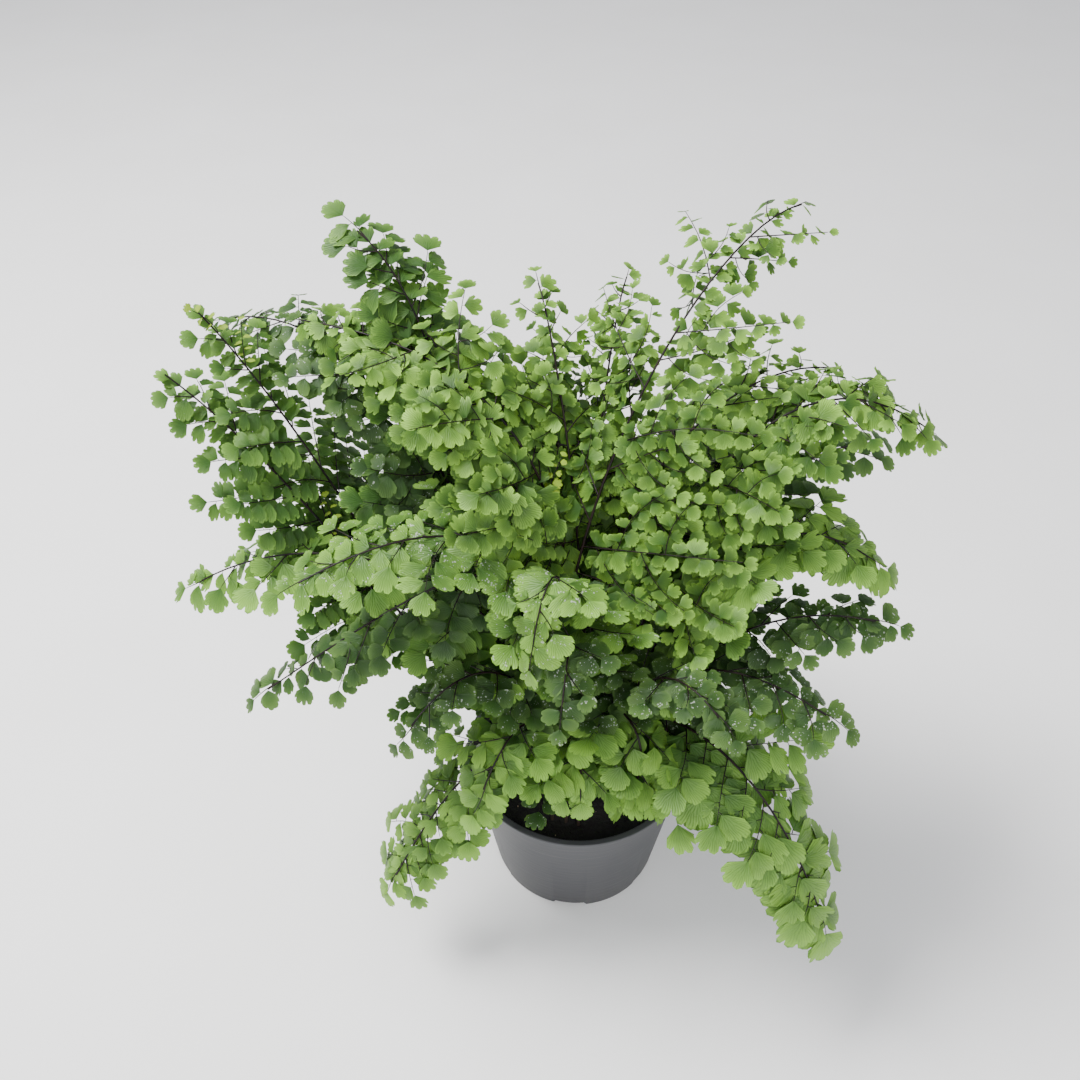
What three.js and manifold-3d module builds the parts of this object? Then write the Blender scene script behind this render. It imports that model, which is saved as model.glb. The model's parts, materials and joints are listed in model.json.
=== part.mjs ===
// A potted maidenhair fern: a round nursery pot filled with potting soil, and thirty fronds that stand in it.
// Millimetres, +Z up. The origin is the middle of the pot's underside, and the pot stands on z = 0.

import * as THREE from "three";
import { mergeVertices } from "three/addons/utils/BufferGeometryUtils.js";
import Module from "manifold-3d";

const wasm = await Module();
wasm.setup();

// Driving dimensions
const CLEARANCE = 0.3; // between neighbours that touch on the real plant
const POT = {
  height: 84,
  rimRadius: 60,
  baseRadius: 46,
  wall: 1.4,
  floor: 1.8,
  lipHeight: 2.6,
  lipOut: 0.9,
  edge: 0.6,
  collarHeight: 20,
  collarStep: 0.9,
  sides: 40,
};
const NOTCH = { count: 6, width: 20, topWidth: 16, height: 3, reach: 7, firstAngle: -92 }; // in the base
const SOIL = { rimLevel: 74, crownLevel: 76.5, crownRadius: 30, slope: 12, sides: 24 };
const STEM = { radius: 0.95, sides: 3, steps: 7, rootDepth: 9 };
const HOLE = { radius: 1.8, sides: 6, above: 7 };
const STUB = { radius: 1, sides: 5, heights: [7, 11, 5], angle: -97, distance: 40, pitch: 7 };
const BLADE = {
  thickness: 0.75,
  clearThickness: 1.5, // of the blade that is tested against its neighbours
  ribHalfWidth: 0.9,
  sink: 0.4, // into the stem
  stalk: 6,
  droop: 0.16, // along the rib, as a share of its length
  bow: 0.012, // across the rib, per millimetre
};

// Side branches (pinnae). The spread is the angle to the stem at the foot and at the tip of the leafy
// stretch.
const PINNA = {
  fewest: 3,
  most: 8,
  endShare: 0.975, // of the stem, where the end one leaves it
  spread: [66, 50],
  lean: [-4, 12],
  taper: 0.64, // how much shorter they are at the tip
  least: 1.6, // lengths in leaflets: of the shortest, of one that had to be shortened, of the end one
  cut: 1.4,
  end: 1.5,
  whole: 2.3, // and the length below which the leaflets are smaller too
};

// A leaflet's points from its base towards the pinna's tip, as [share of the pitch, share of its length], and
// those of the end fan as [share of a leaflet along the rib, share across it].
const LEAFLET = {
  points: [[0.06, 0.74], [0.52, 1], [0.96, 0.82]],
  lean: 0.35,
  taper: 0.28,
  uneven: [0.9, 1.1],
  fan: [[0.6, 0.5], [1, 0.22]],
};

// What is tried in turn to bend a pinna clear of what stands already: degrees round the stem, degrees from
// its spread, and shares of its length.
const TRIES = {
  tilts: [0, 14, -14, 28, -28, 42, -42, 56, -56],
  turns: [0, -16],
  shares: [1, 0.85, 0.7, 0.55],
};

// How a frond of each age is leafed: the bare share of its stalk, the spacing of its pinnae, the longest of
// them as a share of the leafy stretch, and the pitch and size of its leaflets.
const AGES = {
  young: { bare: 0.46, spacing: 27, longest: 0.46, pitch: 22, leaflet: 19, colour: 0x8dbb4a },
  mature: { bare: 0.43, spacing: 34, longest: 0.5, pitch: 26, leaflet: 24, colour: 0x6a9d3c },
  old: { bare: 0.4, spacing: 37, longest: 0.5, pitch: 26, leaflet: 23, colour: 0x3f6b33 },
};

// Each frond: its name, its azimuth in degrees from +X towards +Y, its foot on the soil as [x, y], then the
// other controls of its arch (rise, crest, tip) as [distance from the pot's axis, height above the table],
// and its age.
const FRONDS = [
  ["top_right", 45, [-5, -12], [-40, 258], [62, 368], [126, 355], "young"],
  ["right_arch", 8, [16, 2], [24, 140], [40, 374], [146, 288], "young"],
  ["right_mid", -5, [20, -2], [26, 155], [55, 292], [124, 242], "mature"],
  ["right_inner", 27, [6, 3], [-12, 250], [55, 318], [118, 296], "young"],
  ["right_back", 24, [12, 6], [24, 150], [70, 270], [146, 250], "old"],
  ["right_low", -14, [12, -3], [35, 138], [65, 226], [130, 224], "old"],
  ["right_front", -30, [17, -10], [26, 160], [58, 215], [122, 196], "old"],
  ["front_right", -41, [9, -8], [16, 160], [94, 210], [152, 98], "mature"],
  ["front_left", -141, [-15, -13], [18, 128], [62, 152], [115, 70], "mature"],
  ["left_spotted", 206, [-4, -5], [0, 240], [48, 287], [126, 260], "mature"],
  ["left_middle", 186, [-10, -4], [4, 165], [84, 276], [172, 222], "mature"],
  ["left_arch", 157, [-4, 1], [-12, 312], [58, 322], [138, 314], "young"],
  ["back_left_tall", 146, [-17, 11], [80, 200], [62, 326], [121, 350], "mature"],
  ["far_left_upper", 168, [-20, 4], [78, 120], [118, 268], [168, 328], "mature"],
  ["far_left", 176, [-15, 0], [70, 118], [118, 258], [176, 312], "mature"],
  ["back_left_spotted", 156, [-10, 6], [35, 160], [76, 350], [186, 300], "old"],
  ["left_low", 201, [-17, -8], [20, 250], [24, 262], [148, 190], "old"],
  ["front_spotted", -107, [1, -2], [6, 220], [40, 290], [66, 236], "mature"],
  ["front_pale", -95, [0, -14], [14, 165], [34, 250], [76, 216], "old"],
  ["top_middle", 108, [0, 5], [-26, 235], [56, 320], [76, 324], "young"],
  ["top_back", 80, [2, 10], [0, 230], [40, 320], [92, 318], "young"],
  ["front_over_rim", -64, [3, -7], [-6, 160], [100, 222], [56, 112], "mature"],
  ["front_low_left", -119, [-10, -17], [24, 130], [48, 192], [86, 152], "mature"],
  ["front_low", -88, [1, -22], [24, 115], [44, 168], [66, 134], "mature"],
  ["inner_right", -52, [14, -17], [26, 140], [48, 226], [94, 208], "old"],
  ["inner_left", 222, [-10, -10], [18, 140], [50, 225], [98, 184], "old"],
  ["back_right", 58, [7, 12], [20, 150], [64, 270], [136, 246], "mature"],
  ["back_middle", 97, [-2, 16], [22, 140], [60, 250], [128, 214], "mature"],
  ["back_low", 74, [6, 21], [32, 125], [80, 196], [134, 150], "old"],
  ["back_left", 126, [-9, 13], [26, 140], [70, 235], [134, 186], "old"],
];

const UP = new THREE.Vector3(0, 0, 1);
const WELD = 1e-4; // corners nearer than this are one
const radians = THREE.MathUtils.degToRad;
const lerp = THREE.MathUtils.lerp;

// A repeatable draw from 0 to 1 for a whole number.
function draw(n) {
  const wave = Math.sin(n * 12.9898) * 43758.5453;
  return wave - Math.floor(wave);
}

function toSolid(geometry) {
  const bare = geometry.index ? geometry.toNonIndexed() : geometry.clone();
  bare.deleteAttribute("normal");
  bare.deleteAttribute("uv");
  const merged = mergeVertices(bare, WELD);
  return new wasm.Manifold(
    new wasm.Mesh({
      numProp: 3,
      vertProperties: new Float32Array(merged.attributes.position.array),
      triVerts: new Uint32Array(merged.index.array),
    }),
  );
}

function toGeometry(solid) {
  const mesh = solid.getMesh();
  const geometry = new THREE.BufferGeometry();
  geometry.setAttribute("position", new THREE.BufferAttribute(new Float32Array(mesh.vertProperties), 3));
  geometry.setIndex(new THREE.BufferAttribute(new Uint32Array(mesh.triVerts), 1));
  geometry.computeVertexNormals();
  return geometry;
}

function lathe(profile, sides) {
  const points = profile.map(([r, z]) => new THREE.Vector2(r, z));
  return new THREE.LatheGeometry(points, sides).rotateX(Math.PI / 2);
}

// A straight rod between two points.
function rod(radius, sides, from, to) {
  const axis = to.clone().sub(from);
  const upright = new THREE.Vector3(0, 1, 0);
  const turn = new THREE.Quaternion().setFromUnitVectors(upright, axis.clone().normalize());
  const middle = from.clone().add(to).divideScalar(2);
  return new THREE.CylinderGeometry(radius, radius, axis.length(), sides)
    .applyQuaternion(turn)
    .translate(middle.x, middle.y, middle.z);
}

// Pot

// The outer radius of the plain wall at a height, without collar or lip.
function wallRadius(z) {
  return lerp(POT.baseRadius, POT.rimRadius - POT.lipOut - POT.collarStep, z / POT.height);
}

function potSolid() {
  const collarLow = POT.height - POT.collarHeight;
  const lipLow = POT.height - POT.lipHeight;
  const inner = (z) => wallRadius(z) - POT.wall;
  const profile = [
    [0, 0],
    [wallRadius(0), 0],
    [wallRadius(collarLow), collarLow],
    [wallRadius(collarLow) + POT.collarStep, collarLow + POT.collarStep],
    [wallRadius(lipLow) + POT.collarStep, lipLow],
    [POT.rimRadius, lipLow + POT.lipOut],
    [POT.rimRadius, POT.height - POT.edge],
    [POT.rimRadius - POT.edge, POT.height],
    [inner(POT.height), POT.height],
    [inner(POT.floor), POT.floor],
    [0, POT.floor],
  ];
  let pot = toSolid(lathe(profile, POT.sides));
  for (let i = 0; i < NOTCH.count; i++) {
    const angle = radians(NOTCH.firstAngle + (360 * i) / NOTCH.count);
    pot = pot.subtract(notchSolid(angle));
  }
  return pot;
}

// A low arch, cut outwards through the base's edge.
function notchSolid(angle) {
  const beyond = 1;
  const arch = new THREE.Shape();
  arch.moveTo(-NOTCH.width / 2, -beyond);
  arch.lineTo(NOTCH.width / 2, -beyond);
  arch.lineTo(NOTCH.topWidth / 2, NOTCH.height);
  arch.lineTo(-NOTCH.topWidth / 2, NOTCH.height);
  const depth = 2 * NOTCH.reach;
  const tool = new THREE.ExtrudeGeometry(arch, { depth, bevelEnabled: false })
    .rotateX(Math.PI / 2)
    .rotateZ(Math.PI / 2)
    .translate(POT.baseRadius - NOTCH.reach, 0, 0)
    .rotateZ(angle);
  return toSolid(tool);
}

// Soil

function soilSolid(roots) {
  const gap = POT.wall + CLEARANCE;
  const bottom = POT.floor + CLEARANCE;
  const profile = [
    [0, bottom],
    [wallRadius(bottom) - gap, bottom],
    [wallRadius(SOIL.rimLevel) - gap, SOIL.rimLevel],
    [SOIL.crownRadius + SOIL.slope, SOIL.rimLevel],
    [SOIL.crownRadius, SOIL.crownLevel],
    [0, SOIL.crownLevel],
  ];
  let soil = toSolid(lathe(profile, SOIL.sides));
  for (const { point, way } of roots) {
    const low = point.clone().addScaledVector(way, -STEM.rootDepth - CLEARANCE);
    const high = point.clone().addScaledVector(way, HOLE.above);
    soil = soil.subtract(toSolid(rod(HOLE.radius, HOLE.sides, low, high)));
  }
  return soil;
}

// Fronds

// The arch of a frond: a cubic curve from its foot into the upright plane of its azimuth.
function archOf([, azimuth, [x, y], rise, crest, tip]) {
  const out = new THREE.Vector3(Math.cos(radians(azimuth)), Math.sin(radians(azimuth)), 0);
  const place = ([distance, height]) => out.clone().multiplyScalar(distance).setZ(height);
  const foot = new THREE.Vector3(x, y, SOIL.crownLevel);
  return new THREE.CubicBezierCurve3(foot, place(rise), place(crest), place(tip));
}

// Where a stem leaves the soil, and which way it points there.
function rootOf(arch) {
  return { point: arch.getPoint(0), way: arch.getTangent(0) };
}

// The path of a stem: from its root, straight into the arch.
function stemPath(arch) {
  const { point, way } = rootOf(arch);
  const line = [point.clone().addScaledVector(way, -STEM.rootDepth)];
  for (let i = 0; i <= STEM.steps; i++) line.push(arch.getPointAt(i / STEM.steps));
  return new THREE.CatmullRomCurve3(line);
}

// The middle of the stem at a share of its arch. The stem is straight from ring to ring.
function stemPoint(arch, share) {
  const rings = stemPath(arch).getSpacedPoints(STEM.steps + 1);
  const length = arch.getLength();
  const spot = ((STEM.rootDepth + share * length) / (STEM.rootDepth + length)) * (STEM.steps + 1);
  const low = Math.min(Math.floor(spot), STEM.steps);
  return rings[low].clone().lerp(rings[low + 1], spot - low);
}

function stemSolid(arch) {
  const path = stemPath(arch);
  const section = new THREE.Shape();
  for (let i = 0; i < STEM.sides; i++) {
    const angle = (2 * Math.PI * i) / STEM.sides;
    section[i ? "lineTo" : "moveTo"](STEM.radius * Math.cos(angle), STEM.radius * Math.sin(angle));
  }
  const tube = new THREE.ExtrudeGeometry(section, {
    extrudePath: path,
    steps: STEM.steps + 1,
    bevelEnabled: false,
  });
  return toSolid(tube);
}

// The outline of a pinna's blade along +X: a bare stalk, leaflets on both sides, cut to the rib, and a fan at
// the end. On the inner side, towards the frond's tip, the leaflets start further out.
function pinnaOutline(length, age, inner, seed) {
  const scale = Math.min(1, length / (PINNA.whole * age.leaflet));
  const pitch = age.pitch * scale;
  const leaflet = age.leaflet * scale;
  const room = length - BLADE.stalk - leaflet;
  const pairs = Math.max(0, Math.round(room / pitch - 0.3));
  const step = room / (pairs + 0.5);
  const side = (sign) => {
    const first = BLADE.stalk + (sign === inner ? step / 2 : 0);
    const points = [];
    for (let i = 0; i < pairs; i++) {
      const uneven = lerp(...LEAFLET.uneven, draw(seed + i * 7 + sign));
      const size = leaflet * uneven * (1 - (LEAFLET.taper * i) / pairs);
      const x = first + step * i;
      points.push([x, sign * BLADE.ribHalfWidth]);
      for (const [along, out] of LEAFLET.points)
        points.push([x + along * step + LEAFLET.lean * size, sign * out * size]);
    }
    points.push([first + step * pairs, sign * BLADE.ribHalfWidth]);
    return points;
  };
  const end = length - leaflet;
  const fan = (sign) => LEAFLET.fan.map(([along, out]) => [end + along * leaflet, sign * out * leaflet]);
  const left = [[-BLADE.sink, BLADE.ribHalfWidth], ...side(1), ...fan(1)];
  const right = [[-BLADE.sink, -BLADE.ribHalfWidth], ...side(-1), ...fan(-1)];
  return [...left, ...right.reverse()];
}

// A thin blade of the outline, bowed down along its rib and to both sides, and split alike on both faces.
function bladeGeometry(outline, length, thickness) {
  const contour = outline.map(([x, y]) => new THREE.Vector2(x, y)).reverse();
  const faces = THREE.ShapeUtils.triangulateShape(contour, []);
  const height = ({ x, y }) => -BLADE.droop * length * (x / length) ** 2 - BLADE.bow * y * y;
  const count = contour.length;
  const vertices = [];
  for (const offset of [thickness / 2, -thickness / 2])
    for (const p of contour) vertices.push(p.x, p.y, height(p) + offset);
  const index = [];
  for (const [a, b, c] of faces) index.push(a, b, c, a + count, c + count, b + count);
  for (let i = 0; i < count; i++) {
    const j = (i + 1) % count;
    index.push(i, i + count, j, j, i + count, j + count);
  }
  const geometry = new THREE.BufferGeometry();
  geometry.setAttribute("position", new THREE.Float32BufferAttribute(vertices, 3));
  geometry.setIndex(index);
  return geometry;
}

// Where a pinna leaves the stem, as a matrix: along its rib, across it, and up through its face. The tilt
// lifts or lowers it round the stem.
function pinnaPlace(arch, share, side, spread, tilt) {
  const origin = stemPoint(arch, share);
  const along = arch.getTangentAt(share);
  const across = new THREE.Vector3().crossVectors(UP, along).normalize();
  if (side) across.multiplyScalar(side).applyAxisAngle(along, -side * radians(tilt));
  const rib = along
    .clone()
    .multiplyScalar(Math.cos(radians(spread)))
    .addScaledVector(across, Math.sin(radians(spread)));
  const face = new THREE.Vector3().crossVectors(along, across).multiplyScalar(side || 1).normalize();
  if (!side) face.applyAxisAngle(along, radians(tilt));
  const width = new THREE.Vector3().crossVectors(face, rib).normalize();
  return new THREE.Matrix4().makeBasis(rib, width, face).setPosition(origin);
}

function boxesMeet(a, b) {
  return [0, 1, 2].every((k) => a.min[k] < b.max[k] && b.min[k] < a.max[k]);
}

function isClear(solid, others) {
  const box = solid.boundingBox();
  return others.every((o) => !boxesMeet(box, o.box) || solid.intersect(o.solid).isEmpty());
}

function taken(solid) {
  return { solid, box: solid.boundingBox() };
}

// The pinnae of a frond, each tilted, or at last shortened, until it is clear of all that stands already.
function pinnaSolids(frond, number, arch, others) {
  const age = AGES[frond.at(-1)];
  const leafy = arch.getLength() * (1 - age.bare);
  const pinnae = THREE.MathUtils.clamp(Math.round(leafy / age.spacing), PINNA.fewest, PINNA.most);
  const solids = [];
  for (let i = 0; i <= pinnae; i++) {
    const last = i === pinnae;
    const u = i / pinnae;
    const share = lerp(age.bare, PINNA.endShare, u);
    const side = last ? 0 : i % 2 ? 1 : -1;
    const seed = number * 31 + i * 5;
    const full = last
      ? PINNA.end * age.leaflet
      : Math.max(PINNA.least * age.leaflet, leafy * age.longest * (1 - PINNA.taper * u));
    const spread = last ? 0 : lerp(...PINNA.spread, u);
    const lean = lerp(...PINNA.lean, draw(seed + 2));
    const solid = clearPinna({ arch, share, side, spread, lean, full, age, seed, others });
    if (!solid) continue;
    solids.push(solid);
    others.push(taken(solid));
  }
  return solids;
}

function clearPinna({ arch, share, side, spread, lean, full, age, seed, others }) {
  for (const part of TRIES.shares) {
    const length = Math.max(full * part, PINNA.cut * age.leaflet);
    const outline = pinnaOutline(length, age, -side, seed);
    const thin = bladeGeometry(outline, length, BLADE.thickness);
    const thick = bladeGeometry(outline, length, BLADE.clearThickness);
    for (const turn of side ? TRIES.turns : [0])
      for (const tilt of TRIES.tilts) {
        const place = pinnaPlace(arch, share, side, spread + turn, lean + tilt);
        const tested = toSolid(thick.clone().applyMatrix4(place));
        if (tested.boundingBox().min[2] > CLEARANCE && isClear(tested, others))
          return toSolid(thin.clone().applyMatrix4(place));
      }
  }
  return null;
}

function biggestBody(solid) {
  return solid.decompose().sort((a, b) => b.volume() - a.volume())[0];
}

// Assembly

const potPlastic = new THREE.MeshStandardMaterial({ color: 0x55565a, roughness: 0.5, metalness: 0 });
const pottingSoil = new THREE.MeshStandardMaterial({ color: 0x17120f, roughness: 1, metalness: 0 });
const oldStalk = new THREE.MeshStandardMaterial({ color: 0x1d1512, roughness: 0.6, metalness: 0 });
const leaf = Object.fromEntries(
  Object.entries(AGES).map(([name, { colour }]) => [
    name,
    new THREE.MeshStandardMaterial({ color: colour, roughness: 0.55, metalness: 0 }),
  ]),
);

function named(name, solid, material) {
  const mesh = new THREE.Mesh(toGeometry(solid), material);
  mesh.name = name;
  return mesh;
}

// The stubs of cut fronds near the pot's front, as upright pegs in the soil.
function stubRoots() {
  return STUB.heights.map((height, i) => ({
    point: new THREE.Vector3(STUB.distance, STUB.pitch * (i - 1), SOIL.rimLevel)
      .applyAxisAngle(UP, radians(STUB.angle)),
    way: UP,
    height,
  }));
}

function stubSolid({ point, way, height }) {
  const low = point.clone().addScaledVector(way, -STEM.rootDepth);
  const high = point.clone().addScaledVector(way, height);
  return toSolid(rod(STUB.radius, STUB.sides, low, high));
}

function buildPlant() {
  const plant = new THREE.Group();
  const arches = FRONDS.map(archOf);
  const stubs = stubRoots();
  const pot = potSolid();
  const soil = soilSolid([...arches.map(rootOf), ...stubs]);
  plant.add(named("pot", pot, potPlastic));
  plant.add(named("soil", soil, pottingSoil));
  const standing = [taken(pot), taken(soil)];
  stubs.forEach((stub, i) => {
    const solid = stubSolid(stub);
    standing.push(taken(solid));
    plant.add(named(`old_stalk_${i + 1}`, solid, oldStalk));
  });
  const stems = arches.map(stemSolid);
  const stalks = stems.map(taken);
  FRONDS.forEach((frond, i) => {
    const others = [...standing, ...stalks.slice(0, i), ...stalks.slice(i + 1)];
    const leafy = pinnaSolids(frond, i, arches[i], others);
    standing.push(...leafy.map(taken));
    const solid = leafy.reduce((all, pinna) => all.add(pinna), stems[i]);
    plant.add(named(`frond_${frond[0]}`, biggestBody(solid), leaf[frond.at(-1)]));
  });
  return plant;
}

export default buildPlant();
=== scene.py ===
"""A potted maidenhair fern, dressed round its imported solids: fine leaflets and wiry stalks for each frond, a
smooth plastic nursery pot, and crumbly potting soil. Metres, +Z up, the pot stands on z = 0."""

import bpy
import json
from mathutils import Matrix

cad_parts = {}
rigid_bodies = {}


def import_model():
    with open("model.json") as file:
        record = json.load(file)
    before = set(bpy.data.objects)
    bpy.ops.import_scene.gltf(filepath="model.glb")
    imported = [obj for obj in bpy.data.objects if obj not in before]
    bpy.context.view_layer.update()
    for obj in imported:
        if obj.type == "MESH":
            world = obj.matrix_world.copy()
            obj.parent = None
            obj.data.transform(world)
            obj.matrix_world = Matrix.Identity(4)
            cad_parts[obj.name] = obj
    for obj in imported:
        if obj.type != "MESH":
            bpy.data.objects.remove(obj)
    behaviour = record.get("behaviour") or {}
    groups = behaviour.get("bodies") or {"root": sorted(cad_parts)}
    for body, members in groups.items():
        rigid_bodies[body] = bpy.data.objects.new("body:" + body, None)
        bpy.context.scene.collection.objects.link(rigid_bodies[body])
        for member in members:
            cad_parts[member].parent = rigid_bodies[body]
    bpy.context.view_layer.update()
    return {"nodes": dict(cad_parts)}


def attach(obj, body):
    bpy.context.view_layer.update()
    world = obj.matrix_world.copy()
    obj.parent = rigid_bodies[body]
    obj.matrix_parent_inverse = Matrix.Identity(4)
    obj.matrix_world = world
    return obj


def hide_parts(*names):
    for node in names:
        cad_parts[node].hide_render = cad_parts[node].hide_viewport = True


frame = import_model()

import json
import math
from types import SimpleNamespace as Values

import bmesh
import bpy
from mathutils import Matrix, Quaternion, Vector, kdtree, noise

MM = 0.001
UP = Vector((0, 0, 1))

# The pot, its drain notches, the soil and the stubs of old stalks, in millimetres and degrees, as packed.
POT = Values(
    height=84, rim=60, base=46, wall=1.4, floor=1.8, lip_height=2.6, lip_out=0.9,
    collar=20, step=0.9, rounding=0.7, sides=144, keen_edge=38,
)
NOTCH = Values(count=6, width=20, top=16, height=3, below=1, reach=7, first=-92)
SOIL = Values(rim=74, crown=76.5, flat=30, slope=12, clear=0.3, rings=36, sides=96)
LUMPS = Values(height=1.3, sunk=0.4, scale=0.22, calm_edge=4)
STUB = Values(
    heights=(7, 11, 5), angle=-97, distance=40, pitch=7, sunk=8, radii=(1.25, 0.7),
    uneven=0.15, lean=0.8, fray=0.6, rings=8, sides=8, keen_edge=50,
)

# How a frond of each age grows. As packed: the bare share of its stalk, the spacing of its pinnae, the longest
# of them as a share of the leafy stretch, and the length of a tooth. In its leaves: the share of the stalk where
# its first small pinnae stand, the spacing and length of the leaflets and how loosely they hang, and the length
# from which a pinna forks with the length for each fork.
AGES = {
    "young": {
        "bare": 0.46, "spacing": 27, "longest": 0.46, "tooth": 19,
        "low": 0.38, "gap": 3.7, "leaflet": 9.8, "loose": 0.6, "fork": (22, 9), "tip": 0.8,
    },
    "mature": {
        "bare": 0.43, "spacing": 34, "longest": 0.5, "tooth": 24,
        "low": 0.26, "gap": 3.8, "leaflet": 17, "loose": 0.14, "fork": (44, 13),
    },
    "old": {
        "bare": 0.4, "spacing": 37, "longest": 0.5, "tooth": 23,
        "low": 0.2, "gap": 3.3, "leaflet": 13, "loose": 0.2, "fork": (32, 11), "lesser": 3,
    },
}
# What its age or the frond itself may change: how many lesser pinnae stand between each two, the leaflets' size
# at the tip as a share of that at the foot, how much fresher than its age the frond is, which is partly painted
# shade and light, darkest on fronds far back, and the leafed share of its end pinna and of the others.
USUAL = {"lesser": 2, "tip": 0.85, "fresh": 0, "end": 0.42, "reach": 1.0}
FAR_LEFT = {"lesser": 3, "gap": 2.8, "leaflet": 12, "fresh": -0.7, "end": 0.1, "reach": 0.92}
OWN_LEAFING = {
    "top_right": {"lesser": 1, "gap": 3.5, "leaflet": 8.6, "fresh": -0.1},
    "top_middle": {"lesser": 4},
    "top_back": {"reach": 0.85},
    "right_arch": {"lesser": 4, "leaflet": 10.4, "tip": 1.0},
    "right_low": {"lesser": 4},
    "right_front": {"lesser": 4},
    "left_low": {"reach": 0.85},
    "left_middle": {"reach": 0.9},
    "right_inner": {"loose": 0.7},
    "right_mid": {"lesser": 4, "gap": 3.5, "leaflet": 16, "tip": 1.1, "fresh": 0.3},
    "front_right": {"lesser": 4, "gap": 4.1, "leaflet": 18.5, "fresh": 0.2, "tip": 1.25},
    "front_left": {"lesser": 6, "gap": 3.5, "leaflet": 14, "tip": 1.0, "loose": 0.3, "fresh": 0.5},
    "front_low_left": {"fresh": 0.5},
    "front_low": {"fresh": 0.5, "end": 0.1},
    "front_over_rim": {"fresh": 0.5},
    "front_spotted": {"fresh": 0.2},
    "left_arch": {"lesser": 4, "gap": 3.6, "leaflet": 12.5},
    "back_left_tall": {"lesser": 5, "leaflet": 16, "tip": 0.9, "fresh": -1.1},
    "back_left_spotted": {"leaflet": 12.5, "reach": 0.8},
    "far_left_upper": FAR_LEFT,
    "far_left": FAR_LEFT,
}
# Tiny new shoots: the frond and the share of its stalk where each stands, its length, and its heading.
SHOOTS = [
    ("far_left", 0.5, 26, 200),
    ("far_left", 0.62, 18, 120),
    ("far_left_upper", 0.9, 16, 100),
    ("far_left_upper", 0.96, 12, 190),
    ("left_arch", 0.55, 16, 60),
    ("top_back", 0.6, 18, 100),
]
SHOOT = Values(bend=0.7, turn=0.3, radii=(0.25, 0.12), leaflet=4.5, gap=2.4, fresh=2.2, steps=6)

# The shapes of the leaflets: the angles of the edges, the radii from the edge towards the frond's foot to the
# other, the number of lobes, the depth of the notches, the bow along and across, and the fullness at the foot.
SIDE_SHAPES = {
    "young": [
        ((-52, 66), (0.66, 0.9, 1.0, 0.99, 0.95, 0.84, 0.58), 5, 0.2, -0.2, 0.1, 1.0),
        ((-46, 58), (0.6, 0.92, 1.02, 0.97, 0.9, 0.76, 0.5), 4, 0.24, -0.3, -0.1, 1.05),
        ((-40, 50), (0.62, 0.94, 1.0, 0.98, 0.96, 0.86, 0.55), 3, 0.24, -0.14, 0.16, 1.1),
        ((-56, 62), (0.64, 0.9, 1.0, 1.0, 0.98, 0.88, 0.6), 5, 0.16, -0.24, 0.08, 1.0),
    ],
    "mature": [
        ((-24, 58), (0.62, 0.95, 1.0, 0.93, 0.75, 0.55, 0.38), 5, 0.13, -0.22, 0.06, 1.2),
        ((-20, 52), (0.6, 0.96, 1.0, 0.86, 0.66, 0.5, 0.36), 4, 0.16, -0.12, -0.12, 1.3),
        ((-30, 64), (0.6, 0.92, 1.0, 0.97, 0.84, 0.63, 0.42), 6, 0.11, -0.3, 0.14, 1.15),
        ((-22, 50), (0.58, 0.94, 1.0, 0.9, 0.72, 0.54, 0.4), 4, 0.18, -0.16, 0.18, 1.3),
        ((-28, 60), (0.6, 0.94, 1.02, 0.95, 0.8, 0.6, 0.4), 5, 0.15, -0.26, -0.06, 1.2),
    ],
    "old": [
        ((-38, 64), (0.6, 0.87, 0.98, 1.0, 0.9, 0.7, 0.48), 5, 0.09, -0.2, 0.08, 1.25),
        ((-30, 54), (0.58, 0.9, 1.0, 0.92, 0.78, 0.62, 0.45), 4, 0.12, -0.1, -0.14, 1.35),
        ((-42, 60), (0.62, 0.88, 1.0, 1.0, 0.92, 0.76, 0.5), 5, 0.1, -0.28, 0.12, 1.2),
        ((-30, 50), (0.6, 0.92, 1.0, 0.9, 0.74, 0.58, 0.44), 3, 0.11, -0.16, 0.16, 1.4),
    ],
}
END_SHAPES = [
    ((-56, 56), (0.6, 0.88, 1.0, 1.02, 1.0, 0.88, 0.6), 6, 0.13, -0.1, -0.1, 1.0),
    ((-48, 50), (0.58, 0.9, 1.0, 1.0, 0.98, 0.88, 0.58), 4, 0.2, -0.2, 0.12, 1.0),
    ((-60, 54), (0.62, 0.9, 1.0, 1.02, 0.98, 0.86, 0.58), 5, 0.15, -0.14, 0.08, 1.0),
]
# Of how many parts the upper face is made, for each number of lobes.
UPPER_PARTS = {3: 6, 4: 8, 5: 5, 6: 6}

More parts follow.
